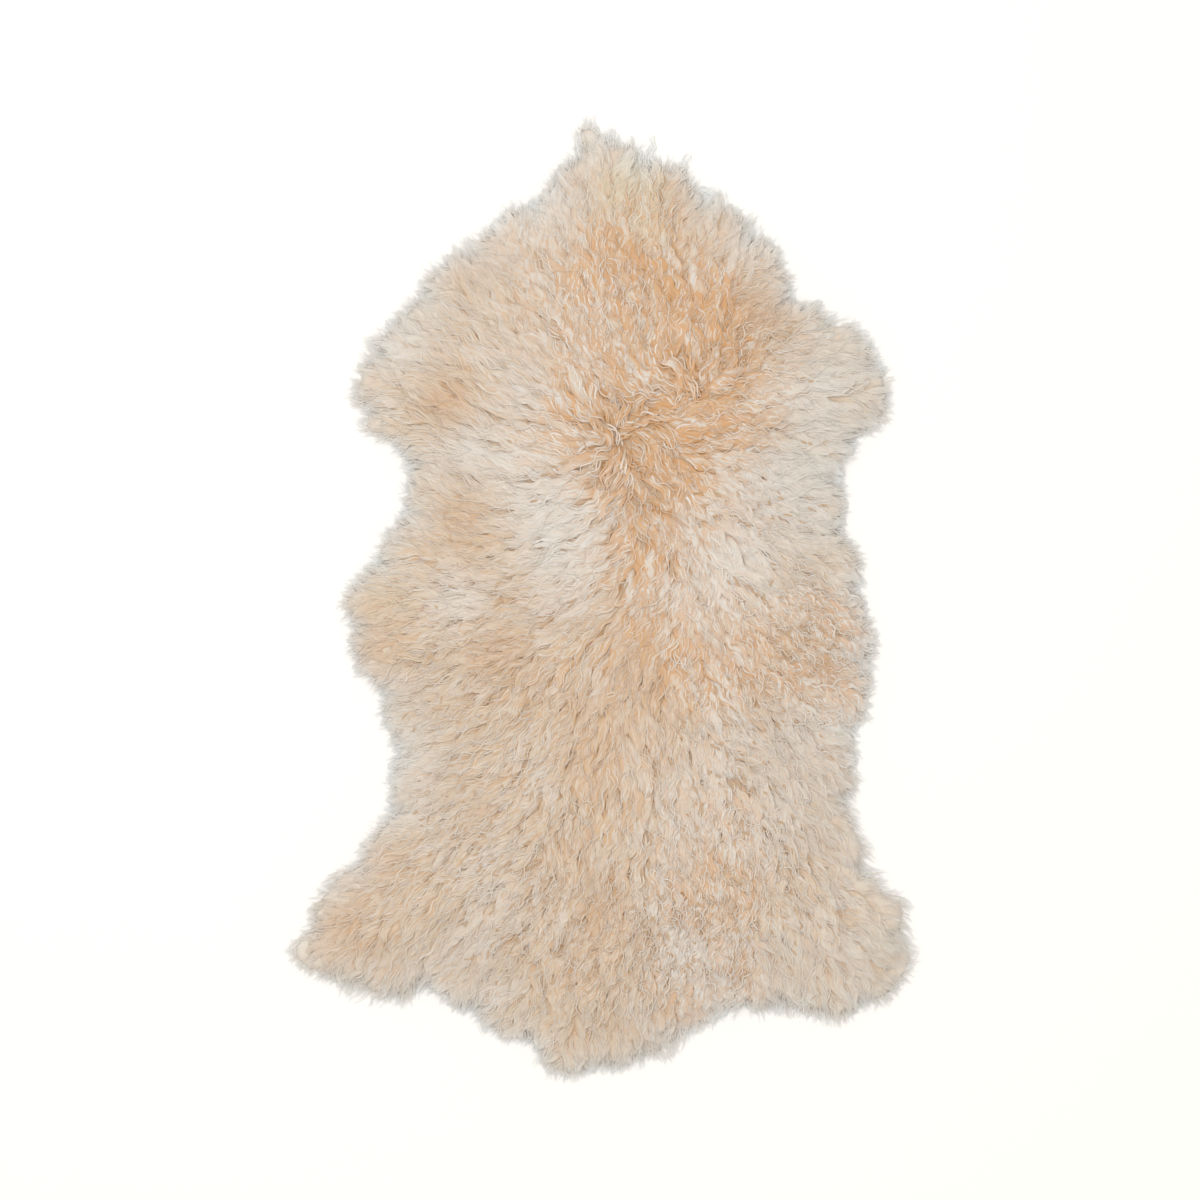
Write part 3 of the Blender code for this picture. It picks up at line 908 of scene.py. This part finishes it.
WOOL_TAN = (0.6, 0.335, 0.151, 1)
WOOL_PEACH = (0.604, 0.491, 0.366, 1)
WOOL_CREAM = (0.629, 0.562, 0.464, 1)
WOOL_LILAC = (0.658, 0.646, 0.632, 1)
WOOL_APRICOT = (0.556, 0.355, 0.194, 1)
WOOL_PALE = (0.677, 0.666, 0.642, 1)
WOOL_STRAW = (0.65, 0.605, 0.42, 1)
WOOL_RIM = (0.755, 0.79, 0.80, 1)
# painted shade: wool lying lower than the fleece's top is mixed to tan, partly the deep wool's own colour
# and partly shade in the hollows
DEEP = (0 * MM, 5 * MM)  # how far under the fleece's top the wool begins to be tan, and is all tan
LIVELY = (0.4, 1.5)  # how much the colour changes in loose and in tightly curled wool
APRICOT_OF_LOOSE_AND_TIGHT = (0.16, 0.0)
TO_APRICOT = (-0.2, -2.4, 0.0, 0.6)  # the tones between which a lock turns apricot, and how far
TO_PALE = (0.2, 2.4, 0.0, 0.6)
TINT_SHARES = {"apricot": 0.8, "straw": 0.7, "pale": 0.7, "rim": 0.95}
MOST_IN_STREAK = 0.45  # of another colour
MOST_IN_STRAND = 0.5
# painted shade: how tan a strand's edges turn, partly the tan wool seen through its thin edge fibres and
# partly shade between strands
MOST_AT_EDGE = 0.5
STREAKS_OF_LOCK = 60.0  # far enough apart in the noise that no two locks have the same streaks


def streaks_along(tree, own, fibres, knots):
    """Streaks along a strand: so many fibres across it, and knots along it."""
    parts = {"X": (number_on(tree, "across"), fibres), "Y": (number_on(tree, "along"), knots)}
    parts["Z"] = (own, STREAKS_OF_LOCK)
    fibre = vector(tree, **{part: math_of(tree, "MULTIPLY", *pair) for part, pair in parts.items()})
    return noise(tree, fibre, grains=1.0, detail=2, roughness=0.6)


def from_middle(tree):
    """How far from a strand's middle line it is: 0.5 at its edges."""
    off = math_of(tree, "SUBTRACT", number_on(tree, "across"), 0.5)
    return math_of(tree, "ABSOLUTE", off)


def lambswool(name, root, middle, tip, fibres, bump, roughness):
    """Lambswool, from root to tip through three tones, streaked along so many fibres, tanner at a
    strand's edges and deep in the fleece (partly the wool's own tan and partly painted shade
    between strands and in the hollows), tinted in patches, no two locks quite alike, and paler
    where it thins out at the rim. The tighter the curls, the more of all this shows."""
    made, tree, shader = new_material(name, roughness, sheen=0.1)

    def told(name, *spans):
        """What the wool says under that name, taken from one span to another."""
        return ranged(tree, number_on(tree, name), *spans)

    def tinted(name):
        """How much a tint of that name counts here."""
        return math_of(tree, "MULTIPLY", number_on(tree, name), TINT_SHARES[name])

    def varied(value, low, high, most):
        """None at low and most at high, the more so the tighter the curls are."""
        return math_of(tree, "MULTIPLY", ranged(tree, value, low, high, 0.0, most), lively)

    strand, sunk = number_on(tree, "strand"), number_on(tree, "sunk")
    own = math_of(tree, "ADD", strand, number_on(tree, "own"))
    streaks = streaks_along(tree, own, fibres, knots=2.0)
    lively = told("crimp", *LOOSE_AND_TIGHT, *LIVELY)
    colour = mixed(tree, told("along", 0.05, 0.45), root, middle)
    for share, other in (
        (told("along", 0.45, 1.0), tip),
        (told("crimp", *LOOSE_AND_TIGHT, *APRICOT_OF_LOOSE_AND_TIGHT), WOOL_APRICOT),
        (told("tone", *TO_APRICOT), WOOL_APRICOT),
        (told("tone", *TO_PALE), WOOL_PALE),
        (tinted("apricot"), WOOL_APRICOT),
        (tinted("straw"), WOOL_STRAW),
        (varied(streaks, 0.5, 0.62, MOST_IN_STREAK), WOOL_PALE),
        (varied(streaks, 0.46, 0.34, MOST_IN_STREAK), WOOL_TAN),
        (varied(strand, 0.55, 0.1, MOST_IN_STRAND), WOOL_TAN),
        (varied(strand, 0.6, 1.0, MOST_IN_STRAND), WOOL_PALE),
        # painted shade: tan at a strand's edges, partly the wool under its thin edge fibres and partly
        # shade between strands
        (varied(from_middle(tree), 0.25, 0.5, MOST_AT_EDGE), WOOL_TAN),
        (tinted("pale"), WOOL_PALE),
        # painted shade: tan deeper under the fleece's top, partly the deep wool's own colour and partly
        # shade in the hollows
        (varied(sunk, *DEEP, 1.0), WOOL_TAN),
        (tinted("rim"), WOOL_RIM),
    ):
        colour = mixed(tree, share, colour, other)
    tree.links.new(colour, shader.inputs["Base Color"])
    if bump:
        raised(tree, shader, streaks, bump, depth=MM)
    return made


# What the tree is given for the broad ribbon of matted wool that fills a lock
BODY = dict(strands=1, steps=10, across=3, arch=0.7 * MM, crimp=0.4, roll=0.2, floor=0.6 * MM)
wool_in_the_lock = lambswool(
    "wool_in_the_lock", WOOL_APRICOT, WOOL_PEACH, WOOL_PEACH, fibres=6.0, bump=0.7, roughness=0.8
)
roots = scattered(LOCK_PITCH, LOCK_ROOTS_FROM_RIM)
roots = roots[np.argsort(-roots[:, 1], kind="stable")]
lengths = LOCK_WAVES * lay_of_wool(roots)[1][:, 1]
lock_lines = combed(roots, lengths, LOCK_LENGTHS, LOCK_STRAY, LOCK_SWERVE)
lock_layers = chance.uniform(-1, 1, (len(roots), 1)) * LOCK_LAYERS * evenness(roots)[:, None]
lock_numbers = chance.uniform(0, 1, len(roots))
locks = (lock_lines, lock_layers, lock_numbers, tones(roots))
grown("lock_bodies", *locks, **BODY, width=9 * MM, seed=1, wool=wool_in_the_lock)

# ---------------------------------------------------------------------------------------------
# The strands. On each lock, the longest fibres clump to thin crimped strands, bleached paler than
# the wool under them. They follow their lock, side by side and nearly in step.
# ---------------------------------------------------------------------------------------------
# And for the thin strands on it
STRAND = dict(strands=5, steps=15, width=1.4 * MM, across=2, radius=4.6 * MM, lift=0.75 * MM)
STRAND |= dict(crimp=1.0, curl=0.2, unruly=0.2, drift=3 * MM, roll=0.35, floor=0.8 * MM)
# Along the pelt, from the neck back: (piece, the share of the locks that it ends at)
PARTS_OF_FLEECE = (
    ("strands_of_neck", 0.25),
    ("strands_of_shoulders", 0.5),
    ("strands_of_back", 0.75),
    ("strands_of_hindquarters", 1.0),
)
STRAND["wool"] = lambswool(
    "bleached_wool", WOOL_PEACH, WOOL_CREAM, WOOL_LILAC, fibres=2.0, bump=0, roughness=0.45
)
first = 0
for number, (name, share) in enumerate(PARTS_OF_FLEECE):
    last = round(share * len(roots))
    grown(name, *(column[first:last] for column in locks), **STRAND, seed=10 + number)
    first = last

# ---------------------------------------------------------------------------------------------
# The partings. Here and there the locks stand apart and open on the tan wool at their roots, in
# short strokes that lie along them. Each is a sheet laid on the fleece's top: tan at its sides for
# the root wool, brown in its middle as painted shade down in the gap.
# ---------------------------------------------------------------------------------------------
PARTING_PITCH = 22 * MM
PARTING_LENGTH = 16 * MM
PARTING_LENGTHS = (0.6, 1.4)  # of that length
PARTING_LAYER = 0.3 * MM
LARGE_PARTING_HIGHER = 1 * MM
PARTING_CRIMP = 1.3 * MM  # looser wool closes over its roots
LEVEL_RISE = ((0, 1), (1, 1))
PARTING = BODY | dict(steps=8, width=2.4 * MM, arch=-0.5 * MM, crimp=0.3, roll=0.1)
# painted shade: the brown in a parting's middle stands for the shade down in its gap; the tan is the root
# wool
PARTING_SHADE_BROWN = (0.41, 0.285, 0.185, 1)
PARTING_TAN = (0.56, 0.415, 0.29, 1)
# Larger ones: (place, across and along in mm, heading in degrees, length in mm, bend in degrees)
PARTINGS = (
    ("before the whorls", 13, 229, 5, 16, 0),
    ("before the second whorl", 52, 222, 350, 14, 0),
    ("left of the second whorl", 62, 203, 10, 18, 0),
    ("at the second whorl", 80, 212, 320, 12, 0),
    ("over the whorl, left", -12, 184, 330, 16, 0),
    ("over the whorl", 18, 180, 25, 12, 20),
    ("left of the whorl", -22, 172, 170, 14, 0),
    ("under the whorl, right", 32, 137, 330, 12, 0),
    ("right of the back line", 55, 152, 315, 13, 0),
    ("right back, first", 94, 137, 345, 14, 0),
    ("right back, second", 102, 116, 325, 16, 0),
    ("right back, third", 34, 108, 320, 12, 0),
    ("right shoulder, first", 78, 262, 100, 14, 0),
    ("right shoulder, second", 112, 268, 95, 14, 0),
    ("right shoulder, third", 132, 292, 80, 13, 0),
    ("right cheek", 150, 300, 60, 12, 0),
    ("nape, first", 46, 318, 110, 14, 0),
    ("nape, second", 22, 340, 105, 12, 0),
    ("under the back line", 24, 8, 240, 12, 0),
    ("rump", 50, -30, 280, 14, 0),
)


def root_wool():
    """The wool at the roots, brown in the middle of a parting and tan at its sides, in streaks: the
    tan is the root wool's own, the brown middle is painted shade down in the gap.
    """
    made, tree, shader = new_material("root_wool", roughness=0.9, sheen=0.1)
    streaks = streaks_along(tree, number_on(tree, "own"), fibres=6.0, knots=1.5)
    middle = mixed(tree, ranged(tree, streaks, low=0.35, high=0.65), PARTING_SHADE_BROWN, PARTING_TAN)
    at_side = ranged(tree, from_middle(tree), low=0.1, high=0.5)
    tree.links.new(mixed(tree, at_side, middle, PARTING_TAN), shader.inputs["Base Color"])
    return made


def bent(rows, aside=0.0, points=LOCK_POINTS):
    """Lines from rows of (place, across, along, heading, length, bend), their roots moved aside:
    each sets out with its heading and turns evenly by its bend over its length."""
    table = np.array([row[1:] for row in rows])
    roots = table[:, :2] * MM + aside
    headings, lengths, bends = table[:, 2:].T
    share = (np.arange(points - 1) + 0.5) / (points - 1)
    way = np.radians(headings[:, None] + bends[:, None] * share)
    steps = np.stack([np.cos(way), np.sin(way)], axis=-1) * (lengths * MM / (points - 1))[:, None, None]
    return np.concatenate([roots[:, None], roots[:, None] + np.cumsum(steps, axis=1)], axis=1)


roots = scattered(PARTING_PITCH, LOCK_ROOTS_FROM_RIM)
lines = combed(roots, PARTING_LENGTH, PARTING_LENGTHS, stray=6, swerve=8)
lines = np.concatenate([lines, bent(PARTINGS)])
numbers = chance.uniform(0, 1, len(lines))
open_here = lay_of_wool(lines[:, 0])[1][:, 0] > PARTING_CRIMP
lines, numbers = lines[open_here], numbers[open_here]
layers = np.full((len(lines), 1), PARTING_LAYER)
layers[-len(PARTINGS) :] += LARGE_PARTING_HIGHER
PARTING["wool"] = root_wool()
grown("partings", lines, layers, numbers, np.zeros(len(lines)), LEVEL_RISE, **PARTING, seed=55)

# ---------------------------------------------------------------------------------------------
# The crown and the tufts. Where the lay parts, at the whorl and at a lesser one beside it, locks
# fall over each other every way and hide the parting. At the neck, loose tufts stand out.
# ---------------------------------------------------------------------------------------------
# (place, across and along of its root in mm, heading in degrees, length in mm, bend in degrees)
CROWN = (
    ("up the left", 4, 174, 132, 42, 10),
    ("up the middle", 9, 175, 118, 40, 12),
    ("up the right", 14, 174, 100, 36, 25),
    ("left, high", 4, 172, 150, 42, -10),
    ("left", 3, 169, 172, 44, -14),
    ("left, low", 5, 166, 195, 40, 10),
    ("down the left", 7, 165, 215, 42, 15),
    ("down, left", 9, 163, 250, 46, 12),
    ("down", 12, 162, 268, 50, -8),
    ("down, right", 16, 162, 290, 48, -14),
    ("over to the right", 10, 163, 34, 68, -97),
    ("over to the right, inside", 12, 160, 16, 54, -80),
    ("right, low", 14, 158, 340, 56, -42),
    ("right", 15, 170, 8, 50, -28),
    ("right, high", 16, 174, 26, 44, -12),
    ("up from the whorl", 20, 180, 88, 36, 14),
    ("up from between the whorls", 28, 184, 74, 38, -24),
    ("between the whorls", 36, 188, 52, 38, -20),
    ("between the whorls, right", 44, 193, 18, 40, -20),
    ("between the whorls, low", 30, 178, 352, 46, -14),
    ("into the whorl", 40, 196, 232, 34, -40),
    ("into the whorl, thin", 7, 199, 275, 24, 10),
    ("over the whorl from the left", -8, 186, 318, 30, -35),
    ("over the whorl from the right", 26, 180, 205, 26, 40),
    ("second, left", 84, 216, 160, 42, 22),
    ("second, left low", 82, 211, 188, 44, -16),
    ("second, down the left", 86, 206, 214, 34, 28),
    ("second, up", 92, 214, 80, 34, -20),
    ("second, up left", 87, 218, 112, 32, 16),
    ("second, right", 94, 211, 30, 38, -32),
    ("second, right low", 92, 206, 345, 40, -20),
    ("second, down", 88, 203, 300, 34, 24),
    ("over the second", 56, 240, 325, 54, -26),
    ("over the second, low", 46, 229, 352, 44, -24),
    ("over the second, steep", 74, 236, 296, 36, -34),
)
# Loose tufts at the neck, the same way
TUFTS = (
    ("neck tip", -13, 458, 96, 34, 6),
    ("neck tip, left", -27, 450, 106, 24, -8),
    ("neck tip, right", 2, 454, 84, 26, 10),
    ("neck", 40, 446, 74, 26, 14),
    ("neck, right", 70, 426, 62, 30, 10),
    ("neck, curl", 88, 414, 40, 26, -110),
)
CROWN_LAYER = 1.2 * MM
CROWN_LAYERS = (0.4, 1.6)  # of that height
CROWN_JITTER = 3 * MM
CROWN_TONES = (0.3, 0.8)  # their middle and their spread
CROWN_BODY = BODY | dict(width=3.5 * MM, wool=wool_in_the_lock)
CROWN_STRAND = STRAND | dict(strands=8, steps=23, unruly=0.3, drift=6 * MM)
LOOSE_HAIR = dict(strands=1, width=0.9 * MM, radius=2 * MM, lift=1 * MM, unruly=0.3, drift=5 * MM, roll=0.6)
HAIR = STRAND | LOOSE_HAIR
TUFT = HAIR | dict(strands=9, radius=3 * MM, crimp=1.2, curl=0.4, drift=4 * MM, roll=0.5)
TUFT_LAYER = 1 * MM
TUFT_TONES = (0, 0.8)

count = len(CROWN)
lines = bent(CROWN, aside=chance.normal(0, CROWN_JITTER, (count, 2)))
layers = CROWN_LAYER * chance.uniform(*CROWN_LAYERS, (count, 1))
crown = (lines, layers, chance.uniform(0, 1, count), chance.normal(*CROWN_TONES, count))
grown("crown_bodies", *crown, **CROWN_BODY, seed=60)
grown("crown_strands", *crown, **CROWN_STRAND, seed=61)
count = len(TUFTS)
layers = np.full((count, 1), TUFT_LAYER)
numbers = chance.uniform(0, 1, count)
grown("neck_tufts", bent(TUFTS), layers, numbers, chance.normal(*TUFT_TONES, count), **TUFT, seed=62)

# ---------------------------------------------------------------------------------------------
# The stray hairs. Long pale hairs lie over the locks, a little across them. In places their
# bleached ends curl up, and short gaps between the curls show the tan wool at the roots: strokes
# laid on the fleece's top in the partings' tan, with painted brown shade down their middle.
# ---------------------------------------------------------------------------------------------
STRAY_PITCH = 16 * MM
STRAY_LENGTH = 44 * MM
STRAY_LENGTHS = (0.6, 1.4)  # of that length
STRAY_LAYER = 3 * MM
STRAY_LAYERS = (0.5, 1.3)  # of that height
STRAY_TONES = (1.0, 0.5)
CURL_PITCH = 6.4 * MM
CURL_LENGTH = 15 * MM
CURL_LENGTHS = (0.7, 1.4)
CURL_LAYERS = (0.4, 1.2)
CURL_TONES = (2.0, 0.5)
CURL_CRIMP_AND_WAVE = (1.3 * MM, 8 * MM)
CURL = HAIR | dict(steps=16, radius=1 * MM, lift=0.5 * MM, curl=1.0, unruly=0.1, drift=2 * MM)
GAP_PITCH = 9 * MM  # of the gaps between the curls
GAP_LENGTH = 9 * MM
GAP_LAYER = 1 * MM
GAP = PARTING | dict(steps=5, across=2, arch=0.0, crimp=0.5)
# Where ends curl: (place, across, along and reach in mm, share of the ends)
CURLY = (
    ("right of the second whorl", 116, 216, 30, 0.8),
    ("right shoulder", 158, 262, 34, 0.9),
    ("nape", 40, 300, 40, 0.4),
    ("under the whorl", 30, 125, 40, 0.5),
    ("right belly", 196, -28, 46, 1.0),
    ("right ribs", 160, 90, 50, 0.4),
    ("right rump", 150, -130, 60, 0.5),
    ("over the tail, right", 50, -325, 56, 1.0),
    ("over the tail, left", -60, -300, 60, 0.5),
    ("right thigh", 150, -250, 60, 0.6),
    ("left loin", -120, -60, 60, 0.3),
    ("left thigh", -130, -220, 60, 0.4),
)


def curling(pitch):
    """Roots where ends curl, more of them the more the ends do."""
    roots = scattered(pitch, LOCK_ROOTS_FROM_RIM)
    return roots[chance.uniform(0, 1, len(roots)) < amount_at(roots, CURLY)]


roots = scattered(STRAY_PITCH, LOCK_ROOTS_FROM_RIM)
count = len(roots)
lines = combed(roots, STRAY_LENGTH, STRAY_LENGTHS, stray=18, swerve=20)
layers = STRAY_LAYER * chance.uniform(*STRAY_LAYERS, (count, 1))
numbers = chance.uniform(0, 1, count)
grown("stray_hairs", lines, layers, numbers, chance.normal(*STRAY_TONES, count), **HAIR, seed=70)

roots = curling(CURL_PITCH)
count = len(roots)
lines = combed(roots, CURL_LENGTH, CURL_LENGTHS, stray=30, swerve=20)
layers = STRAY_LAYER * chance.uniform(*CURL_LAYERS, (count, 1))
numbers = chance.uniform(0, 1, count)
curls = (lines, layers, numbers, chance.normal(*CURL_TONES, count))
grown("curled_ends", *curls, crimp_and_wave=CURL_CRIMP_AND_WAVE, **CURL, seed=71)

# painted shade: the gaps between the curls are strokes in the root wool's tan and painted brown shade, laid
# on the fleece
roots = curling(GAP_PITCH)
count = len(roots)
lines = combed(roots, GAP_LENGTH, STRAY_LENGTHS, stray=25, swerve=20)
layers = np.full((count, 1), GAP_LAYER)
numbers = chance.uniform(0, 1, count)
grown("gaps_between_curls", lines, layers, numbers, np.zeros(count), LEVEL_RISE, **GAP, seed=72)

# ---------------------------------------------------------------------------------------------
# The wisps at the rim. Past the locks, single fine hairs lie out over the floor and make the
# fleece's edge soft.
# ---------------------------------------------------------------------------------------------
WISP_PITCH = 4.7 * MM
WISP_ROOTS = (6 * MM, 34 * MM)
WISP_LENGTH = 22 * MM
WISP_LENGTHS = (0.6, 1.5)  # of that length
WISP_STRAY = 16
WISP_SWERVE = 14
WISP_PAST_RIM = (-4 * MM, 5 * MM)
WISP_RISE = ((0, 1), (0.8, 0.7))
WISP_LAYERS = (-2, 2)  # mm lower and higher than the fleece
WISP_POINTS = 6
WISP = HAIR | dict(strands=2, steps=6, width=0.8 * MM, radius=3 * MM, crimp=0.5, curl=0.0)
WISP |= dict(unruly=0.5, drift=2 * MM, roll=0.5, floor=0.5 * MM)
roots = scattered(WISP_PITCH, *WISP_ROOTS)
lines = combed(roots, WISP_LENGTH, WISP_LENGTHS, WISP_STRAY, WISP_SWERVE, WISP_PAST_RIM, WISP_POINTS)
layers = chance.uniform(*WISP_LAYERS, (len(roots), 1)) * MM
numbers = chance.uniform(0, 1, len(roots))
grown("rim_wisps", lines, layers, numbers, tones(roots), WISP_RISE, **WISP, seed=50)


# ---------------------------------------------------------------------------------------------
# The floor, the light and the camera. A white studio floor under an even, slightly warm light,
# a little stronger from the neck's left, seen from straight above.
# ---------------------------------------------------------------------------------------------
FLOOR_SIZE = 12
FLOOR_LEVEL = -0.5 * MM
FLOOR_WHITE = (0.93, 0.93, 0.93, 1)
DOME = 0.66
DOME_WARM = (1, 0.92, 0.82, 1)
KEY_PLACE = (-0.5, 0.6, 4.3)
KEY_SIZE = 3.5
KEY_POWER = 126
VIEW_ACROSS = 1.2  # of floor in the picture
VIEW_MIDDLE = (-0.0078, 0.0070)
CAMERA_HEIGHT = 3.6
SENSOR = 36

floor_material, _, floor_shader = new_material("studio_floor", roughness=1.0)
floor_shader.inputs["Base Color"].default_value = FLOOR_WHITE
floor_mesh = bpy.data.meshes.new("floor")
corners = np.array(((-1, -1), (1, -1), (1, 1), (-1, 1))) * FLOOR_SIZE / 2
floor_mesh.from_pydata([(*corner, FLOOR_LEVEL) for corner in corners], [], [(0, 1, 2, 3)])
new_object("floor", floor_mesh, floor_material)

world = bpy.data.worlds.new("studio")
world.use_nodes = True
world.node_tree.nodes["Background"].inputs["Color"].default_value = DOME_WARM
world.node_tree.nodes["Background"].inputs["Strength"].default_value = DOME
bpy.context.scene.world = world

key_light = bpy.data.lights.new("key", "AREA")
key_light.size = KEY_SIZE
key_light.energy = KEY_POWER
key = in_scene("key", key_light)
key.location = KEY_PLACE
key.rotation_euler = (-Vector(KEY_PLACE)).to_track_quat("-Z", "Y").to_euler()

camera_data = bpy.data.cameras.new("camera")
camera_data.sensor_width = SENSOR
camera_data.lens = SENSOR * CAMERA_HEIGHT / VIEW_ACROSS
camera = in_scene("camera", camera_data)
camera.location = (*VIEW_MIDDLE, CAMERA_HEIGHT)
bpy.context.scene.camera = camera
bpy.context.scene.view_settings.view_transform = "Standard"
